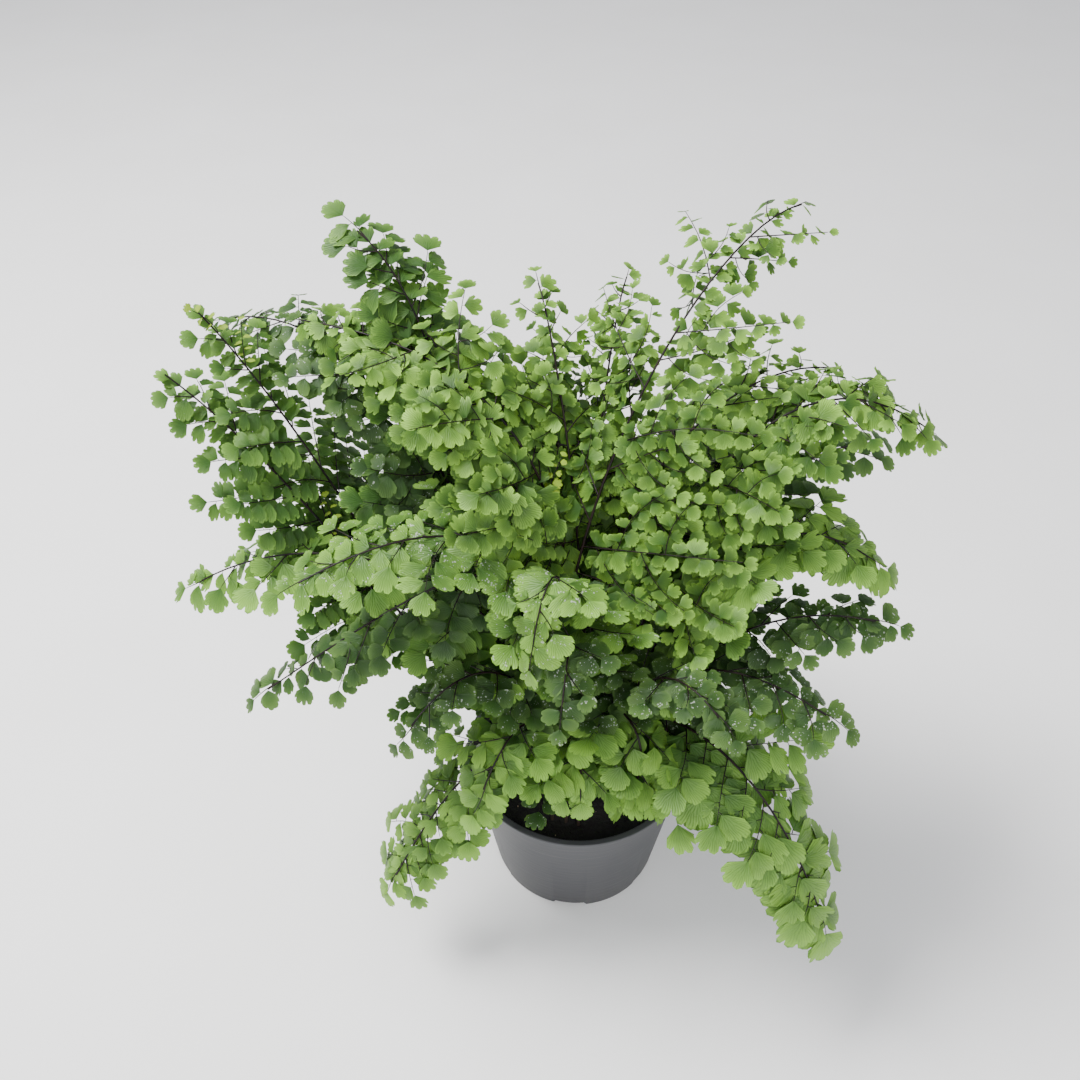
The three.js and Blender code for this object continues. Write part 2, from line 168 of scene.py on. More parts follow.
# Each frond: its name, its azimuth in degrees from +X towards +Y, its foot on the soil, then the rise, crest and
# tip of its arch as (distance from the pot's axis, height above the table), its age, and how limed it is.
FRONDS = [
    ("top_right", 45, (-5, -12), (-40, 258), (62, 368), (126, 355), "young", 0.0),
    ("right_arch", 8, (16, 2), (24, 140), (40, 374), (146, 288), "young", 0.0),
    ("right_mid", -5, (20, -2), (26, 155), (55, 292), (124, 242), "mature", 0.0),
    ("right_inner", 27, (6, 3), (-12, 250), (55, 318), (118, 296), "young", 0.0),
    ("right_back", 24, (12, 6), (24, 150), (70, 270), (146, 250), "old", 0.1),
    ("right_low", -14, (12, -3), (35, 138), (65, 226), (130, 224), "old", 0.7),
    ("right_front", -30, (17, -10), (26, 160), (58, 215), (122, 196), "old", 0.8),
    ("front_right", -41, (9, -8), (16, 160), (94, 210), (152, 98), "mature", 0.1),
    ("front_left", -141, (-15, -13), (18, 128), (62, 152), (115, 70), "mature", 0.3),
    ("left_spotted", 206, (-4, -5), (0, 240), (48, 287), (126, 260), "mature", 0.9),
    ("left_middle", 186, (-10, -4), (4, 165), (84, 276), (172, 222), "mature", 0.2),
    ("left_arch", 157, (-4, 1), (-12, 312), (58, 322), (138, 314), "young", 0.0),
    ("back_left_tall", 146, (-17, 11), (80, 200), (62, 326), (121, 350), "mature", 0.0),
    ("far_left_upper", 168, (-20, 4), (78, 120), (118, 268), (168, 328), "mature", 0.1),
    ("far_left", 176, (-15, 0), (70, 118), (118, 258), (176, 312), "mature", 0.1),
    ("back_left_spotted", 156, (-10, 6), (35, 160), (76, 350), (186, 300), "old", 0.8),
    ("left_low", 201, (-17, -8), (20, 250), (24, 262), (148, 190), "old", 0.1),
    ("front_spotted", -107, (1, -2), (6, 220), (40, 290), (66, 236), "mature", 0.9),
    ("front_pale", -95, (0, -14), (14, 165), (34, 250), (76, 216), "old", 0.5),
    ("top_middle", 108, (0, 5), (-26, 235), (56, 320), (76, 324), "young", 0.0),
    ("top_back", 80, (2, 10), (0, 230), (40, 320), (92, 318), "young", 0.0),
    ("front_over_rim", -64, (3, -7), (-6, 160), (100, 222), (56, 112), "mature", 0.1),
    ("front_low_left", -119, (-10, -17), (24, 130), (48, 192), (86, 152), "mature", 0.3),
    ("front_low", -88, (1, -22), (24, 115), (44, 168), (66, 134), "mature", 0.2),
    ("inner_right", -52, (14, -17), (26, 140), (48, 226), (94, 208), "old", 0.8),
    ("inner_left", 222, (-10, -10), (18, 140), (50, 225), (98, 184), "old", 0.7),
    ("back_right", 58, (7, 12), (20, 150), (64, 270), (136, 246), "mature", 0.1),
    ("back_middle", 97, (-2, 16), (22, 140), (60, 250), (128, 214), "mature", 0.1),
    ("back_low", 74, (6, 21), (32, 125), (80, 196), (134, 150), "old", 0.2),
    ("back_left", 126, (-9, 13), (26, 140), (70, 235), (134, 186), "old", 0.2),
]

# Pinnae: their spread from the stalk, at its foot and at its tip, the range of their lean, how much they shorten
# towards the tip, the least lengths in teeth of one, of one cut short and of the end one, the length from which
# a tooth is whole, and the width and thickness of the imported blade's end.
PINNA = Values(
    spread=(66, 50), lean=(-4, 12), taper=0.64, least=1.6, cut=1.4, end=1.5, whole=2.3,
    half_end=0.22, thick=0.75,
)
PINNA_NUMBER = (3, 8)
END_SHARE = 0.975
# What a packed blade may have been turned by, and cut to, to stay clear of the others.
TILTS = (0, 14, -14, 28, -28, 42, -42, 56, -56)
TURNS = (0, -16)
CUTS = (1, 0.85, 0.7, 0.55)
DROOP = 0.16
SAG_RUN = 110
BOW = 0.012
# How near a packed corner is to where the rule puts it, and how well its fellow then fits.
NEAR, FIT = 4, 0.06

# The lesser pinnae between those: their spread and how far looseness lets it swing, the two ends of their tilt,
# each with what looseness adds, their lengths and how they shorten towards the tip, and their shade with what
# tilt adds. Then the low, shaded ones: their heading off the frond's, their rise, spacing and length in teeth.
LESSER = Values(
    spread=(60, 44), swing=44, tilt=((4, -25), (16, 44)), lengths=(0.72, 1.0), taper=0.2,
    shade=(0.3, 0.012),
)
LOW = Values(heading=(35, 95), rise=(8, 32), spacing=0.5, lengths=(1.6, 2.8), u=0.3)

# Ribs and stalks: their radii from foot to tip, where their first leaflet stands, how they sway, and what a fork
# is as a share of its rib. How fresh a pinna is at the stalk's foot, by how much more at its tip, and how much
# painted shade darkens it in full shade.
RIB = Values(radii=(0.34, 0.15), start=3.5, sway=0.14, spare=0.9, least=10, steps=6)
FORK = Values(
    most=4, radii=(0.24, 0.13), start=3.0, sway=0.1, turn=(0.7, 1.05), first=0.1, run=0.62,
    lengths=(0.5, 0.28), leaflet=0.88,
)
STALK = Values(radii=(0.95, 0.35), steps=40, sunk=8)
CROWN = Values(stretch=(0.78, 0.97), radii=(0.3, 0.3), steps=8, fresh=0.7)
FRESH_AND_SHADE = Values(foot=0.4, tip=0.5, shade=1.1)

# Where most light comes from, how far a leaflet leans that way, and how much less where its blade faces there.
LIGHT = Vector((-0.05, -0.47, 0.88))
TURN_TO_LIGHT = (1.7, 0.8)


# Node trees


def joined(operation, swapped=False):
    """What an operator between a wire and another value does."""

    def join(self, other):
        return self.graph.math(operation, *((other, self) if swapped else (self, other)))

    return join


class Wire:
    """A node's output, which takes part in plain arithmetic by adding Math nodes."""

    def __init__(self, graph, socket):
        self.graph = graph
        self.socket = socket

    __add__ = __radd__ = joined("ADD")
    __sub__ = joined("SUBTRACT")
    __rsub__ = joined("SUBTRACT", swapped=True)
    __mul__ = __rmul__ = joined("MULTIPLY")
    __truediv__ = joined("DIVIDE")
    __pow__ = joined("POWER")
    __mod__ = joined("MODULO")
    __gt__ = joined("GREATER_THAN")
    __lt__ = joined("LESS_THAN")

    def out(self, name):
        """Another output of the same node."""
        outputs = self.socket.node.outputs
        return Wire(self.graph, next(s for s in outputs if s.name == name and s.enabled))


class Graph:
    """A node tree with one way to add any node."""

    def __init__(self, tree):
        self.tree = tree

    def node(self, kind, settings=None, sockets=None):
        made = self.tree.nodes.new(kind)
        for name, value in (settings or {}).items():
            if name == "stops":
                self._stops(made.color_ramp, value)
            else:
                setattr(made, name, value)
        for key, value in (sockets or {}).items():
            self._feed(made, key, value)
        shown = [s for s in made.outputs if s.enabled]
        return Wire(self, shown[0]) if shown else made

    def _feed(self, made, key, value):
        if isinstance(key, int):
            target = made.inputs[key]
        else:
            target = next(s for s in made.inputs if s.name == key and s.enabled)
        if isinstance(value, Wire):
            self.tree.links.new(value.socket, target)
        else:
            target.default_value = value

    def _stops(self, ramp, stops):
        while len(ramp.elements) < len(stops):
            ramp.elements.new(0.5)
        for element, (place, colour) in zip(ramp.elements, stops):
            element.position = place
            element.color = colour

    def math(self, operation, *values):
        return self.node("ShaderNodeMath", {"operation": operation}, dict(enumerate(values)))

    def mix(self, factor, first, second):
        return self.node("ShaderNodeMix", {"data_type": "RGBA"}, {0: factor, 6: first, 7: second})

    def vector(self, operation, *values):
        return self.node("ShaderNodeVectorMath", {"operation": operation}, dict(enumerate(values)))

    def scaled(self, vector, factor):
        return self.node("ShaderNodeVectorMath", {"operation": "SCALE"}, {"Vector": vector, "Scale": factor})

    def link(self, wire, target):
        """Feeds an input a second time, such as the many-ended one of Join Geometry."""
        self.tree.links.new(wire.socket, target)

    def read(self, name, kind="FLOAT"):
        """What the geometry carries under a name."""
        return self.node("GeometryNodeInputNamedAttribute", {"data_type": kind}, {"Name": name})

    def chance(self, low, high, seed, kind="FLOAT"):
        sockets = {"Min": low, "Max": high, "Seed": seed}
        return self.node("FunctionNodeRandomValue", {"data_type": kind}, sockets)

    def stored(self, geometry, domain, name, value):
        sockets = {"Geometry": geometry, "Name": name, "Value": value}
        return self.node("GeometryNodeStoreNamedAttribute", {"domain": domain}, sockets)

    def strewn(self, store, tone_seed, sockets):
        """One shape of a collection at each point, and for each a tone of its own."""
        picked = {"Collection": store, "Separate Children": True, "Reset Children": True}
        shapes = self.node("GeometryNodeCollectionInfo", sockets=picked)
        sockets = {"Instance": shapes, "Pick Instance": True, **sockets}
        strewn = self.node("GeometryNodeInstanceOnPoints", sockets=sockets)
        return self.stored(strewn, "INSTANCE", "tone", self.chance(0.0, 1.0, tone_seed))


def tree_inputs(tree, fields):
    """Gives a geometry tree its named inputs and returns them as wires of its group input."""
    tree.interface.new_socket("Geometry", in_out="OUTPUT", socket_type="NodeSocketGeometry")
    for name, (kind, value) in fields.items():
        item = tree.interface.new_socket(name, in_out="INPUT", socket_type="NodeSocket" + kind)
        if value is not None:
            item.default_value = value
    graph = Graph(tree)
    entry = graph.node("NodeGroupInput")
    return graph, {name: entry.out(name) for name in fields}


def tree_result(graph, geometry, material):
    """Ends a geometry tree: real geometry of one material."""
    real = graph.node("GeometryNodeRealizeInstances", sockets={"Geometry": geometry})
    done = graph.node("GeometryNodeSetMaterial", sockets={"Geometry": real, "Material": material})
    graph.node("NodeGroupOutput", sockets={"Geometry": done})


def skin(build, rings):
    """Adds the faces between rings of as many corners each, where a pole is one corner over and over."""
    for low, high in zip(rings, rings[1:]):
        for corners in zip(low, low[1:] + low[:1], high[1:] + high[:1], high):
            build.faces.new(list(dict.fromkeys(corners)))


def placed(name, data):
    """An object in the scene, at the origin."""
    made = bpy.data.objects.new(name, data)
    bpy.context.scene.collection.objects.link(made)
    return made


def mesh_from(name, build):
    """The mesh of a bmesh that is done with."""
    mesh = bpy.data.meshes.new(name)
    build.to_mesh(mesh)
    build.free()
    return mesh


def worked(piece, modifier):
    """The plain mesh that a modifier makes of a piece, which then loses the modifier."""
    bpy.context.view_layer.update()
    view = bpy.context.evaluated_depsgraph_get()
    seen = piece.evaluated_get(view)
    made = bpy.data.meshes.new_from_object(seen, preserve_all_data_layers=True, depsgraph=view)
    piece.modifiers.remove(modifier)
    return made


def grow(name, mesh, tree, **inputs):
    """A piece whose mesh is what the tree makes of another mesh."""
    piece = placed(name, mesh)
    modifier = piece.modifiers.new(tree.name, "NODES")
    modifier.node_group = tree
    for item in tree.interface.items_tree:
        if item.in_out == "INPUT" and item.name in inputs:
            modifier[item.identifier] = inputs[item.name]
    piece.data = worked(piece, modifier)
    piece.data.name = name
    return piece


# Fronds


def draw(n):
    """A repeatable draw from 0 to 1 for a whole number."""
    wave = math.sin(n * 12.9898) * 43758.5453
    return wave - math.floor(wave)


def lerp(a, b, share):
    return a + (b - a) * share


def heading(degrees):
    """The level direction at an azimuth, in degrees from +X towards +Y."""
    angle = math.radians(degrees)
    return Vector((math.cos(angle), math.sin(angle), 0))


def standing(place, *axes):
    """The matrix of what stands at a place, with its X, Y and Z along these axes."""
    return Matrix.Translation(place) @ Matrix(axes).transposed().to_4x4()


class Arch:
    """A frond's stalk: a cubic curve from its foot, read by shares of its length. Millimetres."""

    STEPS = 200

    def __init__(self, azimuth, foot, rise, crest, tip):
        out = heading(azimuth)
        controls = [Vector((*foot, SOIL.crown))]
        controls += [out * distance + UP * height for distance, height in (rise, crest, tip)]
        self.controls = controls
        self.marks = [0.0]
        for i in range(self.STEPS):
            step = self._at((i + 1) / self.STEPS) - self._at(i / self.STEPS)
            self.marks.append(self.marks[-1] + step.length)
        self.length = self.marks[-1]

    def _at(self, t):
        a, b, c, d = self.controls
        s = 1 - t
        return a * s**3 + b * 3 * s * s * t + c * 3 * s * t * t + d * t**3

    def _t_of(self, share):
        goal = share * self.length
        low = max(i for i, mark in enumerate(self.marks[:-1]) if mark <= goal or i == 0)
        run = self.marks[low + 1] - self.marks[low]
        return min(1.0, (low + (goal - self.marks[low]) / run) / self.STEPS)

    def point(self, share):
        return self._at(self._t_of(share))

    def way(self, share):
        t = self._t_of(share)
        low, high = max(0.0, t - 1e-4), min(1.0, t + 1e-4)
        return (self._at(high) - self._at(low)).normalized()


def pinna_place(arch, share, side, spread, tilt):
    """Where a pinna leaves the stalk, as a matrix: along its rib, across it, and up through its face."""
    along = arch.way(share)
    across = UP.cross(along).normalized()
    if side:
        across = Quaternion(along, -side * math.radians(tilt)) @ (across * side)
    rib = along * math.cos(math.radians(spread)) + across * math.sin(math.radians(spread))
    face = (along.cross(across) * (side or 1)).normalized()
    if not side:
        face = Quaternion(along, math.radians(tilt)) @ face
    return standing(arch.point(share), rib, face.cross(rib).normalized(), face)


def pinna_count(arch, habit):
    leafy = arch.length * (1 - habit.bare)
    return max(PINNA_NUMBER[0], min(PINNA_NUMBER[1], math.floor(leafy / habit.spacing + 0.5)))


def full_length(arch, habit, u):
    """The length of a side branch, from the foot of the leafy stretch, where u is 0, to its tip."""
    full = arch.length * (1 - habit.bare) * habit.longest * (1 - PINNA.taper * u)
    return max(PINNA.least * habit.tooth, full)


def pinnae_of(arch, habit, number):
    """The side branches of a frond by its rule, as packed, and the one that carries its stalk on."""
    count = pinna_count(arch, habit)
    for i in range(count + 1):
        u = i / count
        pinna = Values(u=u, side=0 if i == count else (1 if i % 2 else -1), seed=number * 31 + i * 5, shade=0)
        pinna.share = lerp(habit.bare, END_SHARE, u)
        pinna.lean = lerp(*PINNA.lean, draw(pinna.seed + 2))
        pinna.spread, pinna.full = 0, PINNA.end * habit.tooth
        if pinna.side:
            pinna.spread, pinna.full = lerp(*PINNA.spread, u), full_length(arch, habit, u)
        yield pinna


def pinnae_between(arch, habit, number):
    """The lesser side branches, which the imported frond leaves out: some between each two, which hang lower."""
    count = pinna_count(arch, habit)
    lesser, loose = habit.lesser, habit.loose
    tilts = [tilt + more * loose for tilt, more in LESSER.tilt]
    for i in range(count):
        for k in range(1, lesser + 1):
            u = (i + k / (lesser + 1)) / count
            seed = number * 31 + i * 5 + k * 1009
            side = (1 if i % 2 else -1) * (-1 if k % 2 else 1)
            spread = lerp(*LESSER.spread, u) + LESSER.swing * loose * (draw(seed) - 0.5)
            tilt = lerp(*tilts, draw(seed + 1))
            place = pinna_place(arch, lerp(habit.bare, END_SHARE, u), side, spread, tilt)
            full = full_length(arch, habit, u) * lerp(*LESSER.lengths, draw(seed + 2))
            pinna = Values(side=side, u=u, seed=seed, shade=LESSER.shade[0] + LESSER.shade[1] * tilt)
            yield pinna, place, full * (1 - LESSER.taper * u)


def pinnae_below(arch, azimuth, habit, number):
    """The small shaded side branches low on the stalk, which hold their blades level."""
    low, bare = habit.low, habit.bare
    run = (bare - low) * arch.length
    count = round(run / (LOW.spacing * habit.spacing))
    for i in range(count):
        seed = number * 37 + i * 11
        side = -1 if i % 2 else 1
        ahead = math.radians(azimuth + side * lerp(*LOW.heading, draw(seed)))
        rise = math.radians(lerp(*LOW.rise, draw(seed + 1)))
        rib = Vector((math.cos(ahead) * math.cos(rise), math.sin(ahead) * math.cos(rise), math.sin(rise)))
        width = UP.cross(rib).normalized()
        place = standing(arch.point(lerp(low, bare, i / count)), rib, width, rib.cross(width))
        pinna = Values(side=side, u=LOW.u, seed=seed, shade=1.0)
        yield pinna, place, lerp(*LOW.lengths, draw(seed + 2)) * habit.tooth


def settled(arch, pinna, habit, corners):
    """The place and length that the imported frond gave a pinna, known by the two corners of its end. The packed
    stalk is straight from ring to ring, so both stand off from the true arch by one small step. None where the
    packed frond has no such pinna."""
    for cut in CUTS:
        length = max(pinna.full * cut, PINNA.cut * habit.tooth)
        half = PINNA.half_end * min(habit.tooth, length / PINNA.whole)
        sag = PINNA.thick / 2 - DROOP * length - BOW * half * half
        for turn in TURNS if pinna.side else (0,):
            for tilt in TILTS:
                spread, lean = pinna.spread + turn, pinna.lean + tilt
                place = pinna_place(arch, pinna.share, pinna.side, spread, lean)
                left, right = (place @ Vector((length, side * half, sag)) * MM for side in (1, -1))
                for found, _, _ in corners.find_range(left, NEAR * MM):
                    if corners.find(right + found - left)[2] < FIT * MM:
                        return place, length
    return None


def corners_of(node):
    """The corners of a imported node, to look up by place."""
    mesh = frame["nodes"][node].data
    tree = kdtree.KDTree(len(mesh.vertices))
    for i, vertex in enumerate(mesh.vertices):
        tree.insert(vertex.co, i)
    tree.balance()
    return tree


def to_light(face):
    """The way a leaflet faces on a blade that faces this way: towards the light, the more so where the blade
    itself looks away from it."""
    most, less = TURN_TO_LIGHT
    return (face + LIGHT * (most - less * max(0, face.dot(LIGHT)))).normalized()


class Ribs:
    """The ribs and the stalk of one frond, as a mesh of lines whose corners carry what grows on them."""

    FIELDS = ("radius", "size", "gap", "start", "fresh", "first")

    def __init__(self):
        self.places = []
        self.ups = []
        self.lines = []
        self.values = {name: [] for name in self.FIELDS}

    def add(self, line, radii, **values):
        """line is a list of (place, up) in millimetres, from the foot of the rib to its tip."""
        foot = len(self.places)
        last = len(line) - 1
        for i, (place, up) in enumerate(line):
            self.places.append(place * MM)
            self.ups.append(up)
            if i:
                self.lines.append((foot + i - 1, foot + i))
            self.values["radius"].append(lerp(*radii, i / last) * MM)
            for name in self.FIELDS[1:]:
                self.values[name].append(values.get(name, 0.0))

    def mesh(self, name):
        mesh = bpy.data.meshes.new(name)
        mesh.from_pydata(self.places, self.lines, [])
        up = mesh.attributes.new("up", "FLOAT_VECTOR", "POINT")
        up.data.foreach_set("vector", [x for v in self.ups for x in v])
        for field, values in self.values.items():
            mesh.attributes.new(field, "FLOAT", "POINT").data.foreach_set("value", values)
        return mesh


def rib_line(place, start, turn, length, sway):
    """A rib in a pinna's own plane, from start at a turn off the pinna's way, sagging as it reaches out."""
    line = []
    ahead = Vector((math.cos(turn), math.sin(turn), 0))
    beside = Vector((-ahead.y, ahead.x, 0))
    tipped = place.to_3x3()
    for i in range(RIB.steps + 1):
        t = i / RIB.steps
        flat = start + ahead * (length * t) + beside * (sway * length * math.sin(math.pi * t))
        reach = math.hypot(flat.x, flat.y)
        sag = -DROOP * reach * reach / SAG_RUN
        slope = Vector((2 * DROOP * flat.x / SAG_RUN, 2 * DROOP * flat.y / SAG_RUN, 1)).normalized()
        line.append((place @ Vector((flat.x, flat.y, sag)), to_light(tipped @ slope)))
    return line


def leaf_out(ribs, pinna, place, length, habit):
    """The rib of a pinna, and for a long one its forks, the longest nearest its foot."""
    seed, u, leaflet = pinna.seed, pinna.u, habit.leaflet
    # How light its leaflets are painted: fresher towards the stalk's tip, darker with painted shade where the
    # pinna lies in shade, plus the frond's own offset.
    fresh = FRESH_AND_SHADE.foot + FRESH_AND_SHADE.tip * u - FRESH_AND_SHADE.shade * pinna.shade + habit.fresh
    shared = {"gap": habit.gap * MM, "fresh": fresh}
    reach = habit.end * length
    if pinna.side:
        reach = max(length * habit.reach - RIB.spare * leaflet, RIB.least)
    sway = RIB.sway * (draw(seed + 3) - 0.5)
    ribs.add(
        rib_line(place, Vector((0, 0, 0)), 0, reach, sway),
        RIB.radii,
        size=leaflet * lerp(1.0, habit.tip, u) * MM,
        start=RIB.start * MM,
        first=1.0 if draw(seed + 4) > 0.5 else 0.0,
        **shared,
    )
    least, each = habit.fork
    forks = max(0, min(FORK.most, int((length - least) / each))) if pinna.side else 0
    for k in range(forks):
        side = 1 if (k + (pinna.side > 0)) % 2 else -1
        share = k / FORK.most
        x = reach * (FORK.first + FORK.run * k / FORK.most)
        y = sway * reach * math.sin(math.pi * x / reach)
        turn = side * lerp(*FORK.turn, draw(seed + 7 + k))
        ribs.add(
            rib_line(place, Vector((x, y, 0)), turn, reach * lerp(*FORK.lengths, share), FORK.sway * side),
            FORK.radii,
            size=leaflet * FORK.leaflet * MM,
            start=FORK.start * MM,
            first=float(k % 2),
            **shared,
        )


def frond_ribs(number, frond):
    """All the ribs of a frond, from where its stalk stands in the soil."""
    name, azimuth, foot, rise, crest, tip, age, _ = frond
    habit = Values(**{**USUAL, **AGES[age], **OWN_LEAFING.get(name, {})})
    arch = Arch(azimuth, foot, rise, crest, tip)
    ribs = Ribs()
    stalk = [(arch.point(0) - arch.way(0) * STALK.sunk, UP)]
    stalk += [(arch.point(i / STALK.steps), UP) for i in range(STALK.steps + 1)]
    ribs.add(stalk, STALK.radii)
    corners = corners_of("frond_" + name)
    for pinna in pinnae_of(arch, habit, number):
        found = settled(arch, pinna, habit, corners)
        if found:
            leaf_out(ribs, pinna, *found, habit)
    for lesser in (*pinnae_between(arch, habit, number), *pinnae_below(arch, azimuth, habit, number)):
        leaf_out(ribs, *lesser, habit)
    crown = []
    for i in range(CROWN.steps + 1):
        place = pinna_place(arch, lerp(*CROWN.stretch, i / CROWN.steps), 0, 0, 0)
        crown.append((place.translation, to_light(place.col[2].to_3d())))
    size, gap = habit.leaflet * habit.tip * MM, habit.gap * MM
    ribs.add(crown, CROWN.radii, size=size, gap=gap, fresh=CROWN.fresh + habit.fresh)
    for owner, share, length, way in SHOOTS:
        if owner == name:
            ribs.add(**shoot(arch.point(share), length, heading(way)))
    return ribs.mesh(name + "_ribs")


def shoot(foot, length, out):
    """A tiny new shoot that rises from its foot and bends out."""
    line = []
    for t in (i / SHOOT.steps for i in range(SHOOT.steps + 1)):
        place = foot + UP * (length * t) + out * (SHOOT.bend * length * t * t)
        line.append((place, (LIGHT + out * SHOOT.turn).normalized()))
    leafed = {"size": SHOOT.leaflet * MM, "gap": SHOOT.gap * MM, "fresh": SHOOT.fresh}
    return {"line": line, "radii": SHOOT.radii, **leafed}


# Leaflets


def fan(name, seed, bounds, reaches, lobes, cut, bow, cup, belly):
    """A leaflet of unit length on its stalk: the stalk's foot at the origin, the blade along +X, its face up.
    Its upper and lower faces meet at the rim, and it is thickest in the middle. The seed sets which of its
    notches are deep. Its faces point outwards by the order of their corners."""
    build = bmesh.new()
    chart = build.loops.layers.uv.new("leaf")
    under = build.faces.layers.float.new("under")
    stalk = build.faces.layers.bool.new("stalk")
    neck, thick, pleats, uneven = 0.1, 0.03, 0.028, 0.07
    levels = (0.34, 0.7)
    notches, notch_from, keen = (0.35, 1.7), 0.6, 1.8

    def reach_at(t):
        spot = t * (len(reaches) - 1)
        low = min(int(spot), len(reaches) - 2)
        return lerp(reaches[low], reaches[low + 1], spot - low)

    def corner(t, v, lift=0.0):
        phase = (t * lobes) % 1.0
        swell = math.sin(math.pi * phase)
        depth = cut * lerp(*notches, draw(seed * 17 + round(t * lobes)))
        notch = depth * (1 - swell) ** keen if 0.01 < t < 0.99 else 0
        lobe = 1 + uneven * swell * (draw(seed * 23 + int(t * lobes * 0.999)) - 0.5)
        radius = reach_at(t) * (1 - notch * max(0, v - notch_from) / (1 - notch_from)) * lobe * v
        angle = math.radians(lerp(*bounds, t)) * lerp(belly, 1, v)
        x, y = radius * math.cos(angle) * (1 - neck), radius * math.sin(angle)
        pleat = -pleats * v * math.cos(math.pi * t * UPPER_PARTS[lobes])
        return build.verts.new((neck + x, y, bow * x * x + cup * y * y + pleat + lift))

    def face(corners, marks, below, stem=False):
        made = build.faces.new(corners)
        made[under] = below
        made[stalk] = stem
        made.smooth = True
        for loop, mark in zip(made.loops, marks):
            loop[chart].uv = mark

    foot = build.verts.new((neck, 0, 0))
    rim_marks = [(k + phase) / lobes for k in range(lobes) for phase in (0, 0.17, 0.5, 0.83)] + [1.0]
    rim = [corner(t, 1.0) for t in rim_marks]
    sides = [(corner(0, v), corner(1, v)) for v in levels]
    for below, parts in ((0.0, UPPER_PARTS[lobes]), (1.0, lobes)):
        lift = -thick / 2 if below else thick / 2
        marks = [k / parts for k in range(parts + 1)]
        rows = [[a] + [corner(t, v, lift) for t in marks[1:-1]] + [b] for (a, b), v in zip(sides, levels)]
        for k, (a, b) in enumerate(zip(marks, marks[1:])):
            low, high = ([(row[k], (a, v)), (row[k + 1], (b, v))] for row, v in zip(rows, levels))
            edge = [(v, (t, 1)) for v, t in zip(rim, rim_marks) if a - 0.01 < t < b + 0.01]
            for outline in ([(foot, ((a + b) / 2, 0)), *low], low[::-1] + high, high[::-1] + edge):
                corners, spots = zip(*(outline[::-1] if below else outline))
                face(corners, spots, below)
    for edge in build.edges:
        edge.smooth = len({made[under] for made in edge.link_faces}) == 1

    half, flare, hold = 0.01, 1.3, 0.03
    angles = (math.pi / 2, math.pi * 7 / 6, math.pi * 11 / 6)
    ends = [
        [build.verts.new((x, size * math.cos(a), size * math.sin(a))) for a in angles]
        for x, size in ((0.0, half * flare), (neck + hold, half))
    ]
    blank = [(0, 0)] * 4
    for i in range(3):
        j = (i + 1) % 3
        face([ends[0][i], ends[0][j], ends[1][j], ends[1][i]], blank, 0.0, True)
    face(ends[0][::-1], blank[:3], 0.0, True)
    face(ends[1], blank[:3], 0.0, True)
    return bpy.data.objects.new(name, mesh_from(name, build))


def leaflet_store(age):
    """The leaflets of an age: those for the right of a rib, their mirror shapes for its left, and three end
    fans. Their names are in the order in which the tree picks them."""
    store = bpy.data.collections.new(age + "_leaflets")
    for i, (bounds, reaches, *rest) in enumerate(SIDE_SHAPES[age]):
        mirrored = (-bounds[1], -bounds[0])
        store.objects.link(fan(f"{age}_a_right_{i}", i, bounds, reaches, *rest))
        store.objects.link(fan(f"{age}_b_left_{i}", i + 40, mirrored, reaches[::-1], *rest))
    for i, shape in enumerate(END_SHAPES):
        store.objects.link(fan(f"{age}_c_end_{i}", i + 80, *shape))
    return store


